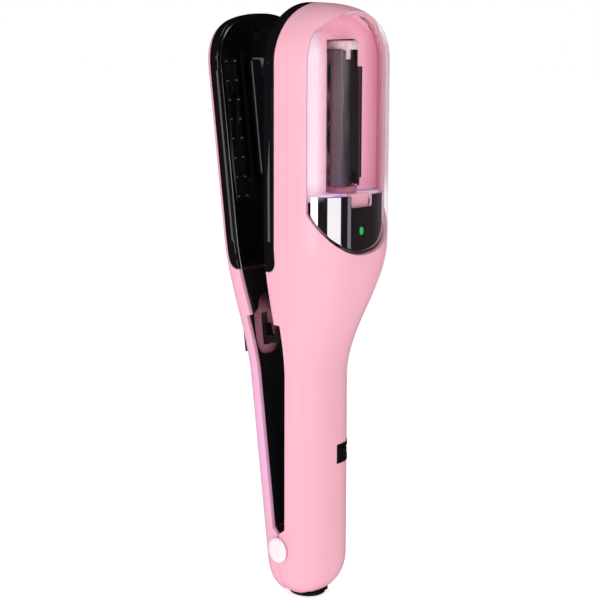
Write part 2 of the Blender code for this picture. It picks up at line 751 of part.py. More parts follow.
def make_torsion_spring(body):
    """Coil about the hinge pin, with one leg on the frame and the other in the arm."""
    turns, coil, wire, sides = 4.0, 3.1, 0.45, 6
    steps = int(turns * 12)
    path = [Vector((-3.6, -5.8, HINGE_Z + coil))]
    for k in range(steps + 1):
        a = math.pi / 2 + 2 * math.pi * k / 12
        x = -3.6 + 7.2 * k / steps
        path.append(Vector((x, coil * math.cos(a), HINGE_Z + coil * math.sin(a))))
    path.append(Vector((3.6, 3.8, HINGE_Z + coil)))
    rings = []
    for k, point in enumerate(path):
        before = path[max(k - 1, 0)]
        after = path[min(k + 1, len(path) - 1)]
        along = (after - before).normalized()
        side = Vector((1, 0, 0)) - along * along.x
        side.normalize()
        up = along.cross(side)
        ring = []
        for s in range(sides):
            t = 2 * math.pi * s / sides
            ring.append(tuple(point + wire * (side * math.cos(t) + up * math.sin(t))))
        rings.append(ring)
    add("torsion_spring", *rings_solid(rings), "steel", body)


# ---- press arm ----


def make_arm_shell(arm):
    shell = add("arm_shell", *arm_form(), "pink_plastic", arm)
    heel = math.tan(math.radians(OPEN_ANGLE)) * (HINGE_Z + 5)
    low_wedge = prism_x([(-5, -5), (heel + 0.15, -5), (0.15, HINGE_Z), (-5, HINGE_Z)], -40, 40)
    cutters = [
        helper("cut_arm_cavity", *arm_form(ARM_WALL, back=4), arm),
        helper("cut_arm_heel", *low_wedge, arm),
        helper("cut_arm_base", *block((-30, -5, -10), (30, 30, BASE_TOP_Z + 1.8)), arm),
        helper("cut_arm_recess", *prism_x(recess_side(1, ARM_RECESS, ARM_SLOT_HIGH_Z), -40, 40), arm),
        helper(
            "cut_arm_plate_seat",
            *prism_x(plate_side(1, ARM_PLATE_DEPTH + GAP, PLATE_LOW_Z), -40, 40),
            arm,
        ),
        helper("cut_arm_parting", *block((-40, -5, HINGE_Z - 1), (40, 0.15, PLATE_LOW_Z + 2)), arm),
        helper("cut_arm_pin", *turned_x([(-30, 2.8), (30, 2.8)], 0, HINGE_Z), arm),
        helper(
            "cut_lock_slot",
            *block((LOCK_X - 2.2, 3, LOCK_Z - 7.5), (LOCK_X + 2.2, 20, LOCK_Z + 2.8)),
            arm,
        ),
    ]
    return cut(shell, *cutters)


def make_arm_plate(arm):
    made = add("arm_plate", *arm_form(), "black_gloss", arm)
    region = prism_x(plate_side(1, ARM_PLATE_DEPTH, PLATE_LOW_Z + GAP), -40, 40)
    keep(made, helper("keep_arm_plate", *region, arm))
    floor = prism_y(outline_xz(1.7, PLATE_LOW_Z - 4, ARM_LENGTH), -3, ARM_FLOOR_Y)
    hollow = prism_y(outline_xz(ARM_WALL, PLATE_LOW_Z + 3, ARM_LENGTH), ARM_FLOOR_Y + 1.8, 15)
    face = block((-40, -5, PLATE_LOW_Z - 2), (40, 0.15, LENGTH + 5))
    cut(made, helper("cut_arm_plate_floor", *floor, arm))
    cut(made, helper("cut_arm_plate_hollow", *hollow, arm))
    cut(made, helper("cut_arm_plate_face", *face, arm))
    hole = turned_y([(-1, 2.5), (8, 2.5)], 0, ARM_SCREW_Z)
    return cut(made, helper("cut_arm_plate_screw", *hole, arm))


def make_pressure_bar(arm):
    """Raised bar that presses the strand into the cutting slot."""
    side = SLOT_HALF_WIDTH - 0.8 - BAR_CORNER
    low, high = CUT_LOW_Z + 1.2 + BAR_CORNER, CUT_HIGH_Z - 1.2 - BAR_CORNER
    outline = []
    for x, z, start in ((side, low, -90), (side, high, 0), (-side, high, 90), (-side, low, 180)):
        for turn in (0, 30, 60, 90):
            a = math.radians(start + turn)
            outline.append((x + BAR_CORNER * math.cos(a), z + BAR_CORNER * math.sin(a)))
    return add("pressure_bar", *prism_y(outline, BAR_CREST_Y, ARM_FLOOR_Y - GAP), "black_gloss", arm)


def make_guide_rails(arm):
    for name, x in (("guide_rail_left", -10.8), ("guide_rail_right", 10.8)):
        low = (x - 0.5, ARM_CREST_Y, 178.0)
        high = (x + 0.5, ARM_FLOOR_Y - GAP, 236.0)
        add(name, *block(low, high), "black_gloss", arm)


def make_pin_strips(arm):
    """A thin strip on each side of the bar that carries two columns of short comb pins."""
    for name, side in (("pin_strip_left", -1), ("pin_strip_right", 1)):
        low = (min(side * 13.5, side * 21.2), ARM_FLOOR_Y - GAP - 0.5, PIN_LOW_Z - 2)
        high = (max(side * 13.5, side * 21.2), ARM_FLOOR_Y - GAP, PIN_LOW_Z + PIN_PITCH * (PIN_ROWS - 1) + 2)
        strip = add(name, *block(low, high), "black_matte", arm)
        points, faces = [], []
        for column in PIN_COLUMNS:
            for row in range(PIN_ROWS):
                profile = [(ARM_CREST_Y, 0.35), (ARM_CREST_Y + 0.25, 0.55), (ARM_FLOOR_Y - 0.6, 0.6)]
                more, sides = turned_y(profile, side * column, PIN_LOW_Z + row * PIN_PITCH, 8)
                faces += [tuple(len(points) + i for i in face) for face in sides]
                points += more
        join(strip, helper("join_" + name, points, faces, arm))


def make_arm_liner(arm):
    face = liner_outline(ARM_RECESS, 1, SLOT_LOW_Z + 0.5, ARM_SLOT_HIGH_Z, PLATE_LOW_Z - 0.5)
    made = add("arm_liner", *prism_x(face, -40, 40), "black_matte", arm)
    keep(made, helper("keep_arm_liner", *arm_form(ARM_WALL + GAP, back=5), arm))
    window = prism_y(rounded_window(0.0), -5, 15)
    cut(made, helper("cut_lock_window", *window, arm))
    hole = turned_y([(-5, 1.3), (9, 1.3)], 0, ARM_LINER_SCREW_Z)
    cut(made, helper("cut_arm_liner_screw", *hole, arm))
    seat = add("lock_plate", *prism_y(rounded_window(GAP), 4.0, 5.2), "dark_pink_plastic", arm)
    slot = block((LOCK_X - 2.2, -5, LOCK_Z - 7.5), (LOCK_X + 2.2, 20, LOCK_Z + 6.4))
    cut(seat, helper("cut_lock_plate_slot", *slot, arm))


def make_arm_screws(arm):
    profile = [(7.9, 1.0), (3.4, 1.0), (3.3, 2.1), (2.5, 2.0), (2.4, 1.2)]
    add("arm_screw_top", *turned_y(profile, 0, ARM_SCREW_Z, 16), "steel", arm)
    profile = [(6.2, 1.0), (2.45, 1.0), (2.4, 2.2), (1.7, 2.1), (1.5, 1.4)]
    add("arm_screw_lower", *turned_y(profile, 0, ARM_LINER_SCREW_Z, 16), "steel", arm)


def make_lock(lock):
    """Thumb slider on the arm's back, with a hook that reaches over to the main half."""
    back = arm_depth(LOCK_Z)
    corners = ((-1, -1), (1, -1), (1, 1), (-1, 1))
    levels = ((back + 0.3, 5.0, 7.0), (back + 1.2, 5.0, 7.0), (back + 1.9, 4.2, 5.6))
    rings = [
        [(LOCK_X + a * width, y, LOCK_Z - 3.2 + b * height) for a, b in corners]
        for y, width, height in levels
    ]
    knob = add("lock_slider", *rings_solid(rings), "black_matte", lock)
    stem = block((LOCK_X - 1.6, 6.4, LOCK_Z - 6.4), (LOCK_X + 1.6, back + 0.8, LOCK_Z - 2.4))
    join(knob, helper("join_slider_stem", *stem, lock))
    hook_side = [
        (6.1, LOCK_Z - 6.6),
        (-6.0, LOCK_Z - 6.6),
        (-6.0, LOCK_Z - 0.6),
        (-3.9, LOCK_Z - 0.6),
        (-3.9, LOCK_Z - 3.4),
        (2.0, LOCK_Z - 3.4),
        (2.6, LOCK_Z + 1.6),
        (6.1, LOCK_Z + 1.6),
    ]
    add("lock_hook", *prism_x(hook_side, LOCK_X - 1.8, LOCK_X + 1.8), "black_matte", lock)


# ---- turning parts ----


def gear_outline(teeth, x, y, turn):
    """Straight-flanked teeth: one module above and one and a quarter below the pitch circle."""
    pitch = GEAR_MODULE * teeth / 2
    tip, root = pitch + 0.85 * GEAR_MODULE, pitch - 1.25 * GEAR_MODULE
    points = []
    for k in range(teeth):
        for share, radius in ((-0.30, root), (-0.11, tip), (0.11, tip), (0.30, root)):
            a = turn + 2 * math.pi * (k + share) / teeth
            points.append((x + radius * math.cos(a), y + radius * math.sin(a)))
    return points


def mesh_angle():
    """The direction from the cutter's axis to the motor's."""
    return math.atan2(ROLLER_Y - MOTOR_Y, MOTOR_X)


def make_cutter(cutter):
    """Roller with three helical lands, its shaft, and the gear on the shaft's lower end."""
    lands, steps, twist = 3, 18, math.radians(230)
    land = [
        (-22, ROLLER_CORE),
        (-9, ROLLER_RADIUS - 1.0),
        (0, ROLLER_RADIUS),
        (5, ROLLER_RADIUS - 0.4),
        (14, ROLLER_CORE),
        (55, ROLLER_CORE),
    ]
    rings = []
    for k in range(steps + 1):
        z = ROLLER_LOW_Z + (ROLLER_HIGH_Z - ROLLER_LOW_Z) * k / steps
        ring = []
        for number in range(lands):
            for offset, radius in land:
                a = twist * k / steps + 2 * math.pi * number / lands + math.radians(offset)
                ring.append((radius * math.cos(a), -ROLLER_Y + radius * math.sin(a), z))
        rings.append(ring)
    blade = add("cutter_roller", *rings_solid(rings), "steel", cutter)
    bore = turned_z([(170, SHAFT_RADIUS + 0.02), (245, SHAFT_RADIUS + 0.02)], 0, -ROLLER_Y, 20)
    cut(blade, helper("cut_roller_bore", *bore, cutter))
    profile = [(157.9, 1.3), (158.2, SHAFT_RADIUS), (240.3, SHAFT_RADIUS), (240.6, 1.3)]
    add("roller_shaft", *turned_z(profile, 0, -ROLLER_Y, 20), "steel", cutter)
    gear = prism_z(gear_outline(ROLLER_TEETH, 0, -ROLLER_Y, mesh_angle()), 160.8, 165.8)
    wheel = add("roller_gear", *gear, "cream_plastic", cutter)
    gear_bore = turned_z([(155, SHAFT_RADIUS + 0.02), (170, SHAFT_RADIUS + 0.02)], 0, -ROLLER_Y, 20)
    cut(wheel, helper("cut_roller_gear_bore", *gear_bore, cutter))


def make_pinion(rotor):
    turn = mesh_angle() + math.pi + math.pi / PINION_TEETH
    pinion = prism_z(gear_outline(PINION_TEETH, MOTOR_X, -MOTOR_Y, turn), 160.3, 166.3)
    made = add("motor_pinion", *pinion, "bronze", rotor)
    bore = turned_z([(155, 0.8), (170, 0.8)], MOTOR_X, -MOTOR_Y, 12)
    cut(made, helper("cut_pinion_bore", *bore, rotor))
    add(
        "motor_shaft",
        *turned_z([(151.0, 0.77), (167.0, 0.77)], MOTOR_X, -MOTOR_Y, 12),
        "steel",
        rotor,
    )


def main():
    clear_scene()
    body = Group("main_body")
    arm = Group("press_arm", (0, 0, HINGE_Z), body)
    arm.empty.rotation_euler.x = math.radians(-OPEN_ANGLE)
    lock = Group("lock", (LOCK_X, 0, LOCK_Z), arm)
    cutter = Group("cutter", (0, -ROLLER_Y, ROLLER_LOW_Z), body)
    rotor = Group("motor_rotor", (MOTOR_X, -MOTOR_Y, 160.0), body)
    cover = Group("cover", (0, -HEAD_DEPTH, 200.0), body)
    slide = Group("switch", (11.0, -12.0, SWITCH_Z), body)

    make_main_shell(body)
    make_clear_cover(cover)
    make_front_panel(body)
    make_latch_tab(body)
    make_led_lens(body)
    make_head_plate(body)
    make_combs(body)
    make_handle_liner(body)
    make_strike(body)
    make_screws(body)
    make_chamber_liner(body)
    make_chamber_floor(body)
    make_bearings(body)
    make_guard(body)
    make_side_rail(body)
    make_motor(body)
    make_electrics(body)
    make_switch(body, slide)
    make_base_cap(body)
    make_hinge(body, arm)
    make_torsion_spring(body)
    make_arm_shell(arm)
    make_arm_plate(arm)
    make_pressure_bar(arm)
    make_guide_rails(arm)
    make_pin_strips(arm)
    make_arm_liner(arm)
    make_arm_screws(arm)
    make_lock(lock)
    make_cutter(cutter)
    make_pinion(rotor)


main()
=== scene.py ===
"""Split-end hair trimmer, standing open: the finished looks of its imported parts."""

import json
import math

import bmesh
import bpy
import numpy as np
from mathutils import Matrix, Vector


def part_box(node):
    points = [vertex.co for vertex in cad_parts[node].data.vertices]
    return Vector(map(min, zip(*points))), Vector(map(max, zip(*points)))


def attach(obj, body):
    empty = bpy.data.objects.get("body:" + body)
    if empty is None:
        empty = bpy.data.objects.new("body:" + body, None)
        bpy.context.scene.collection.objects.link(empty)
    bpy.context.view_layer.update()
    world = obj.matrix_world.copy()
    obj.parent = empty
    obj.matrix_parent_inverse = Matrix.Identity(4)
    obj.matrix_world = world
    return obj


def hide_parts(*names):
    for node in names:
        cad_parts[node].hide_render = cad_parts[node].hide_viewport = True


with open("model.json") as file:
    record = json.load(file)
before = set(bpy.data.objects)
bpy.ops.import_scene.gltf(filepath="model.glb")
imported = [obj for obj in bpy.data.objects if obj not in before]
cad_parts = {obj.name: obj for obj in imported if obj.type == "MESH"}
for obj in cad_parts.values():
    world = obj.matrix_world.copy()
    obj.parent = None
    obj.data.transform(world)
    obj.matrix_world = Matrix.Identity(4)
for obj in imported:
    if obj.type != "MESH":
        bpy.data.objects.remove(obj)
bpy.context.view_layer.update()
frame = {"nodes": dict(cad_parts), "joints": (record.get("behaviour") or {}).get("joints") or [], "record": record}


# ---- Camera ----
# A long lens, 43 degrees round to the left of the chamber and 11 degrees above level, so the
# window, the bright trim and the inside of the press tray are all in view.

mm = 0.001
camera_aim = Vector((0, 0, 127.5 * mm))
camera_round, camera_up = math.radians(-43), math.radians(11)
camera_distance = 0.72
camera_back = Vector(
    (
        math.sin(camera_round) * math.cos(camera_up),
        -math.cos(camera_round) * math.cos(camera_up),
        math.sin(camera_up),
    )
)
lens = bpy.data.cameras.new("camera")
lens.sensor_width = 36
lens.lens = 101.4
lens.shift_x, lens.shift_y = -0.013, 0.01
lens.clip_start = 0.01
camera = bpy.data.objects.new("camera", lens)
camera.location = camera_aim + camera_back * camera_distance
tilt = Matrix.Rotation(math.radians(0.25), 4, "Z").to_quaternion()
camera.rotation_euler = (camera_back.to_track_quat("Z", "Y") @ tilt).to_euler()
bpy.context.scene.collection.objects.link(camera)
bpy.context.scene.camera = camera
bpy.context.scene.view_settings.view_transform = "Standard"


# ---- Studio ----
# A white table in a white room, lit by tall soft boxes. The bright trim and the black trays
# see only the boxes and the dark gaps between them, which gives the trim its upright bands.


class Wire:
    """One socket of a material. Sums, differences, products and powers of wires add Math nodes."""

    def __init__(self, tree, socket=None):
        self.tree = tree
        self.socket = socket

    def node(self, kind, settings=None, sockets=None, output=0):
        """Any other node: its type, its settings, then the values or wires of its sockets."""
        made = self.tree.nodes.new("ShaderNode" + kind)
        for name, value in (settings or {}).items():
            if name == "stops":
                first, second = made.color_ramp.elements
                first.position, first.color = value[0]
                second.position, second.color = value[-1]
                for place, colour in value[1:-1]:
                    made.color_ramp.elements.new(place).color = colour
            else:
                setattr(made, name, value)
        for name, value in (sockets or {}).items():
            if isinstance(value, Wire):
                self.tree.links.new(value.socket, made.inputs[name])
            else:
                made.inputs[name].default_value = value
        return Wire(self.tree, made.outputs[output])

    def maths(self, operation, *values):
        return self.node("Math", {"operation": operation}, dict(enumerate(values)))

    def __add__(self, other):
        return self.maths("ADD", self, other)

    def __sub__(self, other):
        return self.maths("SUBTRACT", self, other)

    def __rsub__(self, other):
        return self.maths("SUBTRACT", other, self)

    def __mul__(self, other):
        return self.maths("MULTIPLY", self, other)

    def __pow__(self, other):
        return self.maths("POWER", self, other)

    __radd__ = __add__
    __rmul__ = __mul__


def finish(name, paint):
    """A material called name. paint takes a wire of Object coordinates and gives back the
    sockets of the Principled shader."""
    made = bpy.data.materials.new(name)
    made.use_nodes = True
    tree = made.node_tree
    place = Wire(tree).node("TexCoord", output="Object")
    shader = tree.nodes["Principled BSDF"]
    for socket, value in paint(place).items():
        if isinstance(value, Wire):
            tree.links.new(value.socket, shader.inputs[socket])
        else:
            shader.inputs[socket].default_value = value
    return made


def speckle(place, scale, detail=2.0, stretch=(1, 1, 1)):
    """Noise from 0 to 1, with scale spots to the metre along each stretched axis."""
    stretched = place.node("Mapping", None, {"Vector": place, "Scale": stretch})
    return place.node("TexNoise", None, {"Vector": stretched, "Scale": scale, "Detail": detail})


def blend(amount, low, high):
    """A colour between low and high, each a tuple or a wire."""
    colours = {
        key: colour if isinstance(colour, Wire) else (*colour, 1)
        for key, colour in ((6, low), (7, high))
    }
    return amount.node("Mix", {"data_type": "RGBA"}, {0: amount, **colours}, output=2)


def bump(height, depth, strength=1.0):
    """A Normal socket from a height of 0 to 1 that stands for depth metres."""
    return height.node("Bump", None, {"Height": height, "Distance": depth, "Strength": strength})


def table_finish(place):
    """Matte white with a faint cloud and a fine tooth."""
    cloud = speckle(place, 6, 3)
    return {
        "Base Color": blend(cloud, (0.90, 0.90, 0.90), (0.94, 0.94, 0.94)),
        "Roughness": cloud * 0.1 + 0.75,
        "Normal": bump(speckle(place, 900), 0.0001),
        "Emission Color": (1, 1, 1, 1),
        "Emission Strength": 0.56,
    }


table_mesh = bpy.data.meshes.new("table")
turns = np.linspace(0, 2 * np.pi, 97)[:-1]
rim = np.stack([4 * np.cos(turns), 4 * np.sin(turns), np.zeros(96)], axis=1)
table_mesh.from_pydata(rim.tolist(), [], [tuple(range(96))])
table = bpy.data.objects.new("table", table_mesh)
bpy.context.scene.collection.objects.link(table)
table_mesh.materials.append(finish("table_white", table_finish))
table.visible_glossy = False  # the trim and the trays see only the boxes and the dark between

room = bpy.data.worlds.new("room")
room.use_nodes = True
bpy.context.scene.world = room
ray = Wire(room.node_tree).node("LightPath", output="Is Camera Ray")
soft = Wire(room.node_tree).node("LightPath", output="Is Diffuse Ray")
glow = room.node_tree.nodes["Background"]
room.node_tree.links.new(
    blend(ray, blend(soft, (0.004, 0.004, 0.005), (0.58, 0.56, 0.57)), (1, 1, 1)).socket,
    glow.inputs["Color"],
)

# name, degrees round from the front, degrees up, distance, width, height, power, colour
soft_boxes = [
    ("box_left", -79, 8, 0.80, 0.38, 0.64, 1.9, (1.0, 0.98, 0.98)),
    ("box_front", -13, -2, 0.95, 0.76, 0.50, 1.3, (1.0, 1.0, 1.0)),
    ("box_top", -50, 70, 0.90, 0.50, 0.4, 1.3, (1.0, 1.0, 1.0)),
    ("box_slot", 30, -2, 0.90, 0.10, 0.5, 0.04, (0.90, 0.84, 1.0)),
    ("box_back_right", 112, 8, 0.90, 0.08, 0.9, 0.5, (1.0, 0.94, 1.0)),
]
for name, round_, up, distance, width, height, power, colour in soft_boxes:
    lamp = bpy.data.lights.new(name, "AREA")
    lamp.shape = "RECTANGLE"
    lamp.size, lamp.size_y = width, height
    lamp.energy = power
    lamp.color = colour
    holder = bpy.data.objects.new(name, lamp)
    a, b = math.radians(round_), math.radians(up)
    away = Vector((math.sin(a) * math.cos(b), -math.cos(a) * math.cos(b), math.sin(b)))
    holder.location = camera_aim + away * distance
    holder.rotation_euler = away.to_track_quat("Z", "Y").to_euler()
    bpy.context.scene.collection.objects.link(holder)


# ---- Main shell ----
# The pink half that the hand holds: one ABS moulding with a 2 mm wall, glossy outside, open
# towards the press arm and cut out at the head for the chamber's cover.

head_half, head_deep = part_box("main_shell")[1].x, -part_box("chamber_cover")[0].y
handle_half, handle_deep = 16.6 * mm, 15.6 * mm
neck_low, neck_high = 98 * mm, 158 * mm
crown_radius, foot_radius = 24 * mm, 19 * mm
main_top = 255 * mm
shell_low_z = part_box("main_shell")[0].z
seat_low_z = 145.0 * mm


def ease(t):
    """0 below 0, 1 above 1, and 3t^2 - 2t^3 between."""
    t = np.clip(t, 0, 1)
    return t * t * (3 - 2 * t)


def along_neck(handle, head, z):
    """The handle's value below the neck, the head's above it, eased between."""
    return handle + (head - handle) * ease((z - neck_low) / (neck_high - neck_low))


def closing(z, top, crown_power, foot_power, inset=0.0):
    """The share of the full size at height z: (1 - t^p)^(1/p) over each rounded end."""
    over = np.clip((z - top + crown_radius) / (crown_radius - inset), 0, 1)
    under = np.clip((foot_radius - z) / (foot_radius - inset), 0, 1)
    crown = (1 - over**crown_power) ** (1 / crown_power)
    return crown * (1 - under**foot_power) ** (1 / foot_power)


def main_width(z, inset=0.0):
    """Half the main half's width at height z, less inset, times its closing share."""
    return (along_neck(handle_half, head_half, z) - inset) * closing(z, main_top, 2, 2.3, inset)


def main_depth(z, inset=0.0):
    """The main half's depth at height z, less inset, times its closing share."""
    return (along_neck(handle_deep, head_deep, z) - inset) * closing(z, main_top, 3.4, 2, inset)


def main_power(z):
    """The superellipse's power: rounder at the handle, squarer at the head."""
    return along_neck(2.4, 3.1, z)


def turn_at_depth(depth, full, power):
    """The turn from the parting plane at which a superellipse is depth deep."""
    return np.arcsin(np.clip(depth / np.maximum(full, 1e-9), 0, 1) ** (power / 2))


def turn_at_width(width, full, power):
    """The turn from the parting plane at which a superellipse is width from the middle."""
    return np.arccos(np.clip(width / np.maximum(full, 1e-9), 0, 1) ** (power / 2))


def half_skin(z, start, end, width, depth, power, side, columns):
    """Points of a half tube: at height z and turn t, x = -width cos(t)^(2/p) and
    y = side depth sin(t)^(2/p), with t running from start to end in each row."""
    share = np.linspace(0, 1, columns)[None, :]
    turn = start[:, None] + (end - start)[:, None] * share
    bend = 2 / power[:, None]
    across = np.cos(turn)
    x = -width[:, None] * np.sign(across) * np.abs(across) ** bend
    y = side * depth[:, None] * np.abs(np.sin(turn)) ** bend
    return np.stack([x, y, np.broadcast_to(z[:, None], x.shape)], axis=2)


def skin(name, *grids, looped=False):
    """A mesh over grids of points, one quad to a cell. Points that meet are welded, and the
    faces look away from the middle."""
    quads, first = [], 0
    for grid in grids:
        rows, columns = grid.shape[:2]
        number = first + np.arange(rows * columns).reshape(rows, columns)
        if looped:
            number = np.concatenate([number, number[:, :1]], axis=1)
        corners = (number[:-1, :-1], number[:-1, 1:], number[1:, 1:], number[1:, :-1])
        quads.append(np.stack(corners, axis=-1).reshape(-1, 4))
        first += rows * columns
    points = np.concatenate([grid.reshape(-1, 3) for grid in grids])
    mesh = bpy.data.meshes.new(name)
    mesh.from_pydata(points.tolist(), [], np.concatenate(quads).tolist())
    tool = bmesh.new()
    tool.from_mesh(mesh)
    bmesh.ops.remove_doubles(tool, verts=tool.verts, dist=2e-6)
    bmesh.ops.dissolve_degenerate(tool, edges=tool.edges, dist=1e-7)
    bmesh.ops.recalc_face_normals(tool, faces=tool.faces)
    middle = Vector(points.mean(axis=0))
    outward = sum(f.normal.dot(f.calc_center_median() - middle) * f.calc_area() for f in tool.faces)
    if outward < 0:
        bmesh.ops.reverse_faces(tool, faces=tool.faces)
    tool.to_mesh(mesh)
    tool.free()
    return place_piece(name, mesh)


def place_piece(name, mesh):
    """The object for a finished mesh, smooth except across its sharp edges."""
    mesh.shade_smooth()
    mesh.set_sharp_from_angle(angle=math.radians(35))
    piece = bpy.data.objects.new(name, mesh)
    bpy.context.scene.collection.objects.link(piece)
    return piece


def wall(piece, thickness, edge=0.0):
    """Gives a surface a wall on its inner side, and rounds the wall's edges."""
    solid = piece.modifiers.new("wall", "SOLIDIFY")
    solid.thickness = thickness
    solid.offset = -1
    if edge:
        rounding = piece.modifiers.new("edge", "BEVEL")
        rounding.width = edge
        rounding.segments = 2
        rounding.limit_method = "ANGLE"
        rounding.angle_limit = math.radians(50)
        rounding.harden_normals = False
    return piece


def belongs(piece, body, material_slot, material, *nodes):
    """Puts a piece on its CAD body and finish, and hides what it stands for."""
    piece.data.materials.clear()
    piece.data.materials.append(material)
    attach(piece, body)
    if nodes:
        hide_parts(*nodes)
    return piece


def moulded(colour, shade, roughness, coat=0.0, grain=0.00001, grain_scale=1800):
    """Moulded plastic: a faint cloud in its colour and gloss, and a fine skin texture."""

    def paint(place):
        cloud = speckle(place, 45, 3)
        smear = speckle(place, 260, 4, (1, 1, 0.35))
        return {
            "Base Color": blend(cloud, colour, shade),
            "Roughness": smear * 0.08 + (roughness - 0.04),
            "Coat Weight": coat,
            "Coat Roughness": 0.06,
            "Normal": bump(speckle(place, grain_scale), grain),
        }

    return paint


shell_pink = finish(
    "shell_pink", moulded((0.90, 0.460, 0.550), (0.88, 0.435, 0.525), 0.34, coat=0.25)
)

# The window: a half oval below, straight sides and a half oval above.
window_half, window_low_half = 24.6 * mm, 22.8 * mm
window_back = 22.6 * mm
bend_z, bend_radius = 175.6 * mm, 22 * mm
arch_z, window_top = 229 * mm, 251.8 * mm


def window_reach(z, gap=0.0, inset=0.0):
    """Half the window's width at height z: the oval's, or where the form is as deep as the
    window's back edge, whichever is less."""
    below = np.clip((bend_z - z) / (bend_radius - gap), 0, 1)
    above = np.clip((z - arch_z) / (window_top - arch_z - gap), 0, 1)
    up = np.clip((z - bend_z) / (arch_z - bend_z), 0, 1)
    straight = window_low_half + (window_half - window_low_half) * up - gap
    oval = straight * np.sqrt(1 - below**2) * np.sqrt(1 - above**2)
    deep = np.clip((window_back + gap) / np.maximum(main_depth(z, inset), 1e-9), 0, 1)
    power = main_power(z)
    return np.minimum(oval, main_width(z, inset) * (1 - deep**power) ** (1 / power))


def oval_levels(gap=0.0):
    """Heights up the window, crowded towards its lowest and highest points."""
    quarter = np.linspace(0, np.pi / 2, 25)
    below = bend_z - (bend_radius - gap) * np.cos(quarter)
    above = arch_z + (window_top - arch_z - gap) * np.sin(quarter)
    return np.concatenate([below, np.arange(177.5, 229, 2.5) * mm, above])


quarter = np.linspace(0, np.pi / 2, 25)
foot_levels = foot_radius - foot_radius * np.cos(quarter)
foot_levels = np.concatenate([[shell_low_z], foot_levels[foot_levels > shell_low_z]])
crown_levels = main_top - crown_radius + crown_radius * np.sin(quarter)
corner_levels = seat_low_z + 5 * mm * (1 - np.cos(np.linspace(0, np.pi / 2, 9)))
steps = np.array([29.4, 32, 121.99, 122.01, 144.99, 145.01]) * mm
even_levels = np.arange(20, 156, 1.5) * mm
main_levels = [foot_levels, even_levels, steps, corner_levels, oval_levels(), crown_levels]


def main_edge(z):
    """How far behind the parting plane the shell's edge lies: level with it at the hinge and
    below the head, set back beside the handle liner, and set back round the head plate."""
    handle = np.where(z < 122 * mm, 3.5 * mm * np.clip((z - 29.4 * mm) / (2.6 * mm), 0, 1), 0)
    rise = np.clip(5 * mm - (z - seat_low_z), 0, 5 * mm)
    seat = 1.1 * mm + np.sqrt(np.maximum((5 * mm) ** 2 - rise**2, 0))
    return np.where(z > seat_low_z, seat, np.maximum(handle, 0.02 * mm))


z = np.unique(np.concatenate(main_levels))
width, depth, power = main_width(z), main_depth(z), main_power(z)
left = half_skin(
    z,
    turn_at_depth(main_edge(z), depth, power),
    turn_at_width(window_reach(z), width, power),
    width,
    depth,
    power,
    -1,
    56,
)
right = left * np.array([-1, 1, 1])
foot = np.stack([left[0], left[0] * np.array([0, 1, 1])])
main_skin = skin("main_shell_skin", left, right, foot, foot * np.array([-1, 1, 1]))


def without(piece, inside):
    """Takes away the faces whose middles, given as arrays of x, y and z, are inside."""
    tool = bmesh.new()
    tool.from_mesh(piece.data)
    faces = tool.faces[:]
    gone = inside(*np.array([face.calc_center_median() for face in faces]).T)
    bmesh.ops.delete(tool, geom=[face for face, go in zip(faces, gone) if go], context="FACES")
    tool.to_mesh(piece.data)
    tool.free()


def behind_switch(x, y, z):
    """The opening under the switch plate, on the handle's corner: |x + y + 1 mm| / sqrt(2)
    within 7 mm of the middle, and 3.2 mm up and down."""
    across = np.abs(x + y + 1 * mm) / math.sqrt(2)
    return (x > 0) & (y < 0) & (across < 7 * mm) & (np.abs(z - 64.7 * mm) < 3.2 * mm)


without(main_skin, behind_switch)
wall(main_skin, 1.9 * mm, 0.18 * mm)
belongs(main_skin, "body", "pink_plastic", shell_pink, "main_shell")


# ---- Chamber cover ----
# A clear polycarbonate shell, 1.6 mm thick, that carries on the head's form over the window.
# It is pushed on and clips over the tab at its foot.


def clear_plastic(name):
    """Clear plastic that shows what is behind it face on, and a pale lilac skin edge on. Its sides, from 17.4 to
    20.2 mm out and above about 180 mm, carry a painted reflection band.
    """
    made = bpy.data.materials.new(name)
    made.use_nodes = True
    tree = made.node_tree
    shader = tree.nodes["Principled BSDF"]
    place = Wire(tree).node("TexCoord", output="Object")
    haze = speckle(place, 55, 3)
    across = place.node("SeparateXYZ", None, {"Vector": place}, output="X")
    side = across.maths("ABSOLUTE", across)
    # Painted reflection: a pale band over the cover's sides, from 17.4 to 20.2 mm out from the middle.
    painted_side_reflection = side.node("MapRange", None, {"Value": side, "From Min": 0.0174, "From Max": 0.0202})
    height = place.node("SeparateXYZ", None, {"Vector": place}, output="Z")
    above = height.node("MapRange", None, {"Value": height, "From Min": 0.176, "From Max": 0.184})
    tint = blend(haze, (0.92, 0.74, 0.84), (0.96, 0.80, 0.90))
    tree.links.new(tint.socket, shader.inputs["Base Color"])
    gloss = haze * 0.02 + 0.02
    tree.links.new(gloss.socket, shader.inputs["Roughness"])
    facing = place.node("LayerWeight", None, {"Blend": 0.5}, output="Facing")
    through = place.node("BsdfTransparent", None, {"Color": (0.985, 0.975, 0.98, 1)})
    solid = Wire(tree, shader.outputs[0])
    # The side band adds 0.6 of the pale solid shader above about 180 mm, as a painted reflection.
    amount = (facing**4.5) * 0.70 + painted_side_reflection * above * 0.6 + 0.004
    mixed = place.node("MixShader", None, {0: amount, 1: through, 2: solid})
    tree.links.new(mixed.socket, tree.nodes["Material Output"].inputs["Surface"])
    return made


z = oval_levels(0.3 * mm)
width, depth, power = main_width(z), main_depth(z), main_power(z)
edge = turn_at_width(window_reach(z, 0.3 * mm), width, power)
cover = skin("clear_cover_skin", half_skin(z, edge, np.pi - edge, width, depth, power, -1, 97))
wall(cover, 1.5 * mm, 0.15 * mm)
belongs(cover, "cover", "clear_cover", clear_plastic("cover_clear"), "chamber_cover")


# ---- Front panel ----
# A U-shaped ABS trim with a mirror-bright metal coat, which sits under the cover's lower part
# and has a notch at the top for the cover's tab.

panel_inset, panel_margin = 1.9 * mm, 1.6 * mm
panel_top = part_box("front_panel")[1].z
notch_half, notch_low = 5.8 * mm, panel_top - 4.8 * mm


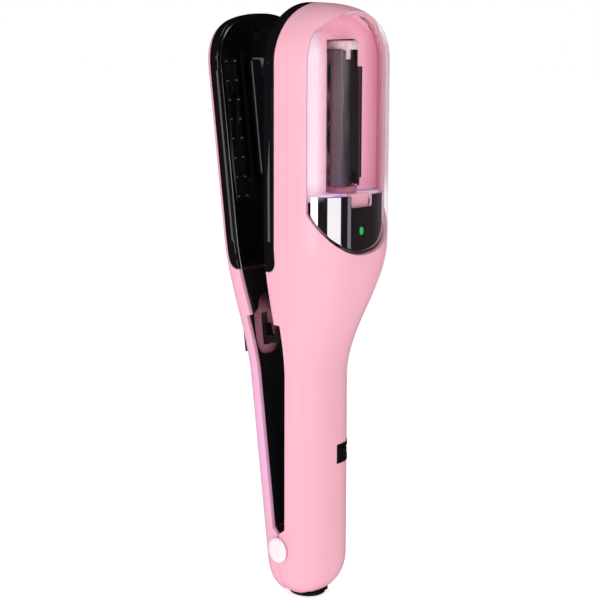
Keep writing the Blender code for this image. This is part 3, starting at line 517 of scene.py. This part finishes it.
def mirror_coat(place):
    """A plated mirror with a slight haze and fine upright scratches."""
    haze = speckle(place, 80, 4)
    scratch = speckle(place, 900, 2, (1, 1, 0.04))
    return {
        "Base Color": blend(haze, (0.88, 0.87, 0.88), (0.94, 0.93, 0.94)),
        "Metallic": 1.0,
        "Roughness": haze * 0.03 + scratch * 0.02 + 0.02,
        "Normal": bump(speckle(place, 120), 0.00002, 0.3),
    }


# Its half width is the form's where that is as deep as the window's back edge, or the lower
# oval's less the margin, whichever is less. Its foot follows the lower oval less the margin.
panel_half, panel_deep = head_half - panel_inset, head_deep - panel_inset
oval_half, oval_radius = window_low_half - panel_margin, bend_radius - panel_margin
reach = panel_half * (1 - ((window_back + 0.3 * mm) / panel_deep) ** 3.1) ** (1 / 3.1)
reach = min(reach, oval_half - 0.1 * mm)
half_turn = np.linspace(0, np.pi / 2, 60)
x = reach * np.sin(half_turn)
notch = np.array([4.8, 5.1, 5.4, 5.6, 5.72, 5.79, 5.81]) * mm
x = np.unique(np.concatenate([x, -x, notch, -notch]))
side = np.abs(x)
low = bend_z - oval_radius * np.sqrt(1 - (x / oval_half) ** 2)
corner = np.clip(side - 4.8 * mm, 0, 1 * mm)
bottom = notch_low + 1 * mm - np.sqrt(np.maximum((1 * mm) ** 2 - corner**2, 0))
high = np.where(side < notch_half, bottom, panel_top)
z = low[:, None] + (high - low)[:, None] * np.linspace(0, 1, 25)[None, :]
power = main_power(z)
share = np.clip(side[:, None] / main_width(z, panel_inset), 0, 1)
y = -main_depth(z, panel_inset) * (1 - share**power) ** (1 / power)
panel = skin("bright_panel", np.stack([np.broadcast_to(x[:, None], z.shape), y, z], axis=2))
wall(panel, 1.2 * mm, 0.2 * mm)
belongs(panel, "body", "chrome_trim", finish("mirror_trim", mirror_coat), "front_panel")


# ---- Chamber bowl and floor ----
# A gloss pink tray behind the cover and a lilac floor plate, both thin mouldings with a painted glow
# (a steady emission that lightens them), clipped into the head with the cover's latch tab and the charge light's
# lens.

node_body = {
    node: body
    for body, nodes in frame["record"]["behaviour"]["bodies"].items()
    for node in nodes
}
node_slot = {part["node"]: part["material_slot"] for part in frame["record"]["subparts"]}


def smooth_copy(node, material):
    """A welded, smooth-shaded copy of a CAD solid, standing for it."""
    mesh = frame["nodes"][node].data.copy()
    mesh.materials.clear()
    tool = bmesh.new()
    tool.from_mesh(mesh)
    bmesh.ops.remove_doubles(tool, verts=tool.verts, dist=2e-6)
    tool.to_mesh(mesh)
    tool.free()
    piece = place_piece(node + "_skin", mesh)
    return belongs(piece, node_body[node], node_slot[node], material, node)


def painted_glow(paint, colour, strength):
    """A finish with a painted glow: a steady emission of the given colour, though the part is no lamp."""

    def lit(place):
        return {**paint(place), "Emission Color": (*colour, 1), "Emission Strength": strength}

    return lit


bowl = moulded((0.90, 0.46, 0.58), (0.88, 0.43, 0.55), 0.22, coat=0.6)
# The bowl's pink has a painted glow, a steady emission that lightens its shaded walls.
bowl_pink = finish("bowl_pink", painted_glow(bowl, (0.90, 0.42, 0.52), 0.22))


def floor_lilac(place):
    """Glossy lilac, with a deeper violet pool left of the cutter."""
    paint = moulded((0.80, 0.62, 0.88), (0.90, 0.78, 0.94), 0.15, 0.5)(place)
    spot = {"Vector": place, "Location": (0.0085, 0.029, 0), "Scale": (1, 1, 0)}
    centred = place.node("Mapping", None, spot)
    radius = place.node("VectorMath", {"operation": "LENGTH"}, {0: centred}, output=1)
    pool = radius.node("MapRange", None, {"Value": radius, "From Min": 0.005, "From Max": 0.002})
    paint["Base Color"] = blend(pool, paint["Base Color"], (0.42, 0.10, 0.72))
    return paint


# The floor's lilac has a painted glow as well, a steady emission that lightens it.
lilac = finish("lilac", painted_glow(floor_lilac, (0.75, 0.55, 0.90), 0.3))
led_green = finish("led_green", moulded((0.02, 0.62, 0.10), (0.04, 0.80, 0.16), 0.2))
smooth_copy("chamber_liner", bowl_pink)
smooth_copy("chamber_floor", lilac)
smooth_copy("cover_latch_tab", shell_pink)
smooth_copy("led_lens", led_green)


# ---- Cutter and its guard ----
# A bladed steel roller on a ground shaft, running in bronze bushes in moulded blocks, behind a
# half tube of dark rolled steel with a painted sheen lightening its left side.


def guard_metal(place):
    """Dark rolled steel with an upright grain, and a painted sheen that lightens its left side."""
    grain = speckle(place, 1500, 3, (1, 1, 0.03))
    across = place.node("SeparateXYZ", None, {"Vector": place}, output="X")
    # Painted sheen: the base colour lightens from x = -2.5 mm to -5.5 mm, a highlight on the guard's left.
    sheen_span = {"Value": across, "From Min": -0.0025, "From Max": -0.0055}
    painted_sheen = across.node("MapRange", None, sheen_span)
    dark = blend(grain, (0.035, 0.031, 0.037), (0.055, 0.049, 0.057))
    return {
        "Base Color": blend(painted_sheen, dark, (0.27, 0.26, 0.28)),
        "Metallic": 0.8,
        "Roughness": grain * 0.1 + 0.4,
        "Normal": bump(grain, 0.000002),
    }


def steel_metal(place):
    """Ground steel with a fine grain in its colour and gloss."""
    grain = speckle(place, 2200, 3, (1, 1, 0.15))
    return {
        "Base Color": blend(grain, (0.52, 0.52, 0.54), (0.68, 0.68, 0.70)),
        "Metallic": 1.0,
        "Roughness": grain * 0.15 + 0.22,
        "Normal": bump(grain, 0.00001),
    }


def bronze_metal(place):
    """Sintered bronze, pocked with fine pores."""
    pores = speckle(place, 4000, 2)
    return {
        "Base Color": blend(pores, (0.62, 0.34, 0.16), (0.80, 0.50, 0.28)),
        "Metallic": 1.0,
        "Roughness": pores * 0.2 + 0.25,
        "Normal": bump(pores, 0.00003),
    }


matte_black = finish(
    "matte_black", moulded((0.004, 0.004, 0.005), (0.008, 0.007, 0.009), 0.42, grain=0.00003)
)
guard_dark = finish("guard_metal", guard_metal)
satin_steel = finish("satin_steel", steel_metal)
bush_bronze = finish("bush_bronze", bronze_metal)
cream = finish("cream", moulded((0.86, 0.66, 0.68), (0.80, 0.60, 0.62), 0.4))
# Mauve: the shell's pink darkened. On the lock plate it is painted shade.
mauve = finish("mauve", moulded((0.52, 0.19, 0.26), (0.60, 0.23, 0.31), 0.35))
smooth_copy("blade_guard", guard_dark)
smooth_copy("guard_side_rail", matte_black)
smooth_copy("lower_bearing_block", mauve)
for node in ("upper_bearing_block", "roller_gear"):
    smooth_copy(node, cream)
for node in ("upper_bush", "lower_bush", "bearing_leaf"):
    smooth_copy(node, bush_bronze)
for node in ("cutter_roller", "roller_shaft"):
    smooth_copy(node, satin_steel)


# ---- Head plate ----
# The black gloss tray on the pressing side of the main half, an ABS moulding screwed to the
# head. Its face, slot and screw holes are the CAD's; the outer band follows the head's form.


def band(name, z, low_edge, width, depth, power, side):
    """The plate's outer band, from its rim in the parting plane to its far edge, both sides,
    0.04 mm proud of the form so that it covers the facets below it."""
    width, depth = width + 0.04 * mm, depth + 0.04 * mm
    near = turn_at_depth(np.full_like(z, 0.05 * mm), depth, power)
    far = turn_at_depth(low_edge, depth, power)
    left = half_skin(z, near, far, width, depth, power, side, 14)
    return wall(skin(name, left, left * np.array([-1, 1, 1])), 0.4 * mm)


def corner_edge(z, depth):
    """How deep the band reaches: 5 mm less at its foot, where its outer corner is rounded."""
    rise = np.clip(5 * mm - (z - seat_low_z - 0.3 * mm), 0, 5 * mm)
    return depth - 5 * mm + np.sqrt(np.maximum((5 * mm) ** 2 - rise**2, 0))


tray_black = finish("tray_black", moulded((0.004, 0.004, 0.005), (0.007, 0.006, 0.008), 0.10))
head_plate = smooth_copy("head_plate", tray_black)
plate_levels = [corner_levels + 0.3 * mm, np.arange(152, 231, 2) * mm, crown_levels]
z = np.unique(np.concatenate(plate_levels))
edge = corner_edge(z, 5.8 * mm)
head_band = band("head_plate_band", z, edge, main_width(z), main_depth(z), main_power(z), -1)
belongs(head_band, "body", "black_gloss", tray_black)
for node in ("comb_left", "comb_right"):
    smooth_copy(node, matte_black)
for node in ("head_screw_top", "head_screw_left", "head_screw_right"):
    smooth_copy(node, satin_steel)


# ---- Press arm shell ----
# The pink moulding of the sprung half, 1.8 mm thick, cut back at the heel so that the halves
# stand apart, set back beside the handle liner and round the tray.

arm_top, arm_deep = 252 * mm, 12.2 * mm
hinge = frame["joints"][0]
hinge_z, open_turn = hinge["pos_m"][2], math.radians(hinge["range_deg"][1])


def arm_width(z, inset=0.0):
    """Half the arm's width at height z, less inset, times its closing share."""
    return (along_neck(handle_half, head_half, z) - inset) * closing(z, arm_top, 2.6, 2.3, inset)


def arm_depth(z, inset=0.0):
    """The arm's depth at height z, less inset, times its closing share."""
    return (arm_deep - inset) * closing(z, arm_top, 3.4, 3.4, inset)


def arm_power(z):
    """The superellipse's power, the same all the way up."""
    return np.full_like(z, 4.0)


def arm_edge(z):
    """How far behind the parting plane the arm's edge lies: the heel's slant below the hinge,
    the set-back beside the liner, and the tray's seat."""
    slant = 0.15 * mm + np.clip(hinge_z - z, 0, None) * math.tan(open_turn)
    low = 2.7 * mm * np.clip((z - 29.4 * mm) / (2.6 * mm), 0, 1)
    handle = np.where(z < 125 * mm, low, 0)
    rise = np.clip(5 * mm - (z - seat_low_z), 0, 5 * mm)
    seat = 0.9 * mm + np.sqrt(np.maximum((5 * mm) ** 2 - rise**2, 0))
    return np.where(z > seat_low_z, seat, np.maximum(slant, handle))


def swing_open(piece):
    """Turns a piece drawn with the halves closed to where the arm stands open."""
    away = Matrix.Translation((0, 0, hinge_z)) @ Matrix.Rotation(-open_turn, 4, "X")
    piece.data.transform(away @ Matrix.Translation((0, 0, -hinge_z)))
    return piece


def arm_pink_painted_lilac_light(place):
    """The shell's pink with a painted lilac light, strongest 60 to 80 mm up and fading out by 130 mm and towards
    the arm's foot.
    """
    paint = moulded((0.90, 0.46, 0.57), (0.88, 0.43, 0.55), 0.34, coat=0.25)(place)
    # Painted light: a lilac cast on the arm's pink, mixed in between 15 and 130 mm up.
    height = place.node("SeparateXYZ", None, {"Vector": place}, output="Z")
    low = height.node("MapRange", None, {"Value": height, "From Min": 0.13, "From Max": 0.08})
    foot = height.node("MapRange", None, {"Value": height, "From Min": 0.015, "From Max": 0.06})
    paint["Base Color"] = blend(low * foot, paint["Base Color"], (0.88, 0.47, 0.70))
    return paint


arm_pink = finish("arm_pink", arm_pink_painted_lilac_light)
arm_foot = 3.4 * mm
arm_crown = arm_top - crown_radius + crown_radius * np.sin(quarter)
arm_foot_levels = foot_radius - foot_radius * np.cos(quarter)
arm_foot_levels = np.concatenate([[arm_foot], arm_foot_levels[arm_foot_levels > arm_foot]])
steps = np.array([22.5, 29.4, 32, 124.99, 125.01, 144.99, 145.01]) * mm
z = np.unique(
    np.concatenate([arm_foot_levels, np.arange(20, 228, 1.5) * mm, steps, corner_levels, arm_crown])
)
z = z[z >= arm_foot]
width, depth, power = arm_width(z), arm_depth(z), arm_power(z)
start = turn_at_depth(np.minimum(arm_edge(z), depth), depth, power)
left = half_skin(z, start, np.full_like(z, np.pi / 2), width, depth, power, 1, 48)
right = left * np.array([-1, 1, 1])
foot = np.stack([left[0], left[0] * np.array([0, 1, 1])])
arm_skin = skin("arm_shell_skin", left, right, foot, foot * np.array([-1, 1, 1]))
wall(swing_open(arm_skin), 1.7 * mm, 0.18 * mm)
belongs(arm_skin, "arm", "pink_plastic", arm_pink, "arm_shell")


# ---- Press tray ----
# The black gloss tray at the arm's head, an ABS moulding with a raised rim. Its floor
# and screw hole are the CAD's; the outer band and the rim's bead follow the arm's form, and the bead is light
# metal as a painted highlight.

arm_plate = smooth_copy("arm_plate", tray_black)
z = np.unique(np.concatenate([corner_levels + 0.3 * mm, np.arange(152, 228, 2) * mm, arm_crown]))
edge = corner_edge(z, 5.6 * mm)
arm_band = band("arm_plate_band", z, edge, arm_width(z), arm_depth(z), arm_power(z), 1)
belongs(swing_open(arm_band), "arm", "black_gloss", tray_black)


def rim_highlight_paint(place):
    """The rim's bead, light grey metal as a painted highlight along the tray's black edge."""
    highlight_mottle = speckle(place, 300, 3)
    return {
        "Base Color": blend(highlight_mottle, (0.62, 0.61, 0.63), (0.72, 0.71, 0.73)),
        "Metallic": 1.0,
        "Roughness": highlight_mottle * 0.1 + 0.16,
        "Normal": bump(highlight_mottle, 0.00001),
    }


def bead(name, path, radius, around=10):
    """A closed tube of the given radius along a path, with its ends drawn to points."""
    ahead = np.gradient(path, axis=0)
    ahead /= np.linalg.norm(ahead, axis=1)[:, None]
    across = np.cross(ahead, np.array([0, 1, 0]))
    across /= np.linalg.norm(across, axis=1)[:, None]
    over = np.cross(across, ahead)
    turn = np.linspace(0, 2 * np.pi, around + 1)[None, :-1, None]
    size = np.full(len(path), radius)
    size[[0, -1]] = 0
    ring = np.cos(turn) * across[:, None] + np.sin(turn) * over[:, None]
    return skin(name, path[:, None] + size[:, None, None] * ring, looped=True)


inner = arm_width(z, 1.6 * mm)
climb = np.stack([-inner[inner > 0], np.full(np.sum(inner > 0), 0.25 * mm), z[inner > 0]], axis=1)
path = np.concatenate([climb, climb[::-1] * np.array([-1, 1, 1])])
# The bead's light metal is a painted highlight along the tray's black rim.
rim_bead = swing_open(bead("arm_plate_bead", path, 0.26 * mm))
belongs(rim_bead, "arm", "black_gloss", finish("rim_highlight_paint", rim_highlight_paint))
for node in ("pressure_bar", "guide_rail_left", "guide_rail_right"):
    smooth_copy(node, tray_black)
smooth_copy("arm_screw_top", satin_steel)


# ---- Pin strips ----
# A gloss black strip each side of the press bar with two columns of eight bosses. A short steel
# pin is pressed into each boss, and only its rounded tip stands out.

pin_rows = (175.6 + 8.1 * np.arange(8)) * mm
turn = np.linspace(0, 2 * np.pi, 17)[:-1]
climb = np.linspace(0, np.pi / 2, 6)
radius = 0.36 * mm * np.append(0, np.cos(climb))
rise = 0.22 * mm * np.append(0, np.sin(climb))
for side, side_name in ((-1, "left"), (1, "right")):
    smooth_copy("pin_strip_" + side_name, tray_black)
    domes = []
    for column in (15.0 * mm, 19.8 * mm):
        for row in pin_rows:
            x = side * column + radius[:, None] * np.cos(turn)
            z = row + radius[:, None] * np.sin(turn)
            y = np.broadcast_to(0.36 * mm - rise[:, None], x.shape)
            domes.append(np.stack([x, y, z], axis=2))
    tips = swing_open(skin("pin_tips_" + side_name, *domes, looped=True))
    belongs(tips, "arm", "steel", satin_steel)


# ---- Handle liners and the lock ----
# Matte black inner faces screwed into both handles, with the lock's window, whose pink plate is
# darkened to mauve as painted shade, the thumb button and hook that slide in the arm, and the
# steel bar that the hook catches.

for node in ("handle_liner", "arm_liner", "lock_slider", "lock_hook"):
    smooth_copy(node, matte_black)
# The lock plate's mauve is painted shade: the pink plate in the lock's window, darkened as it is in shadow.
smooth_copy("lock_plate", mauve)
for node in ("lock_strike", "liner_screw_upper", "liner_screw_lower", "arm_screw_lower"):
    smooth_copy(node, satin_steel)


# ---- Hinge ----
# A steel pin through both halves in a glass-filled frame, a coil spring on it that opens them,
# and pale pink caps pressed over its ends.

cap_pink = finish("cap_pink", moulded((0.94, 0.86, 0.90), (0.92, 0.82, 0.87), 0.28, coat=0.4))
for node in ("hinge_cap_left", "hinge_cap_right"):
    smooth_copy(node, cap_pink)
for node in ("hinge_frame", "arm_knuckle"):
    smooth_copy(node, matte_black)
for node in ("hinge_pin", "torsion_spring"):
    smooth_copy(node, satin_steel)


# ---- Power train and charging ----
# A small can motor in a clamp with a bronze pinion, a sleeved lithium cell and a green board in
# the handle, and the charging inlet in the matte cap that closes the foot.

board_green = finish("board", moulded((0.02, 0.16, 0.06), (0.03, 0.22, 0.09), 0.5))
sleeve_blue = finish("sleeve", moulded((0.04, 0.14, 0.40), (0.06, 0.18, 0.46), 0.4))
smooth_copy("circuit_board", board_green)
smooth_copy("battery_cell", sleeve_blue)
smooth_copy("motor_pinion", bush_bronze)
for node in ("motor_bracket", "board_chip", "base_cap"):
    smooth_copy(node, matte_black)
for node in ("motor", "motor_shaft", "charge_socket"):
    smooth_copy(node, satin_steel)


# ---- Power switch ----
# A matte black plate let into the handle's corner, with a knob of the same plastic that slides
# across it.

for node in ("power_switch_plate", "power_switch_knob"):
    smooth_copy(node, matte_black)
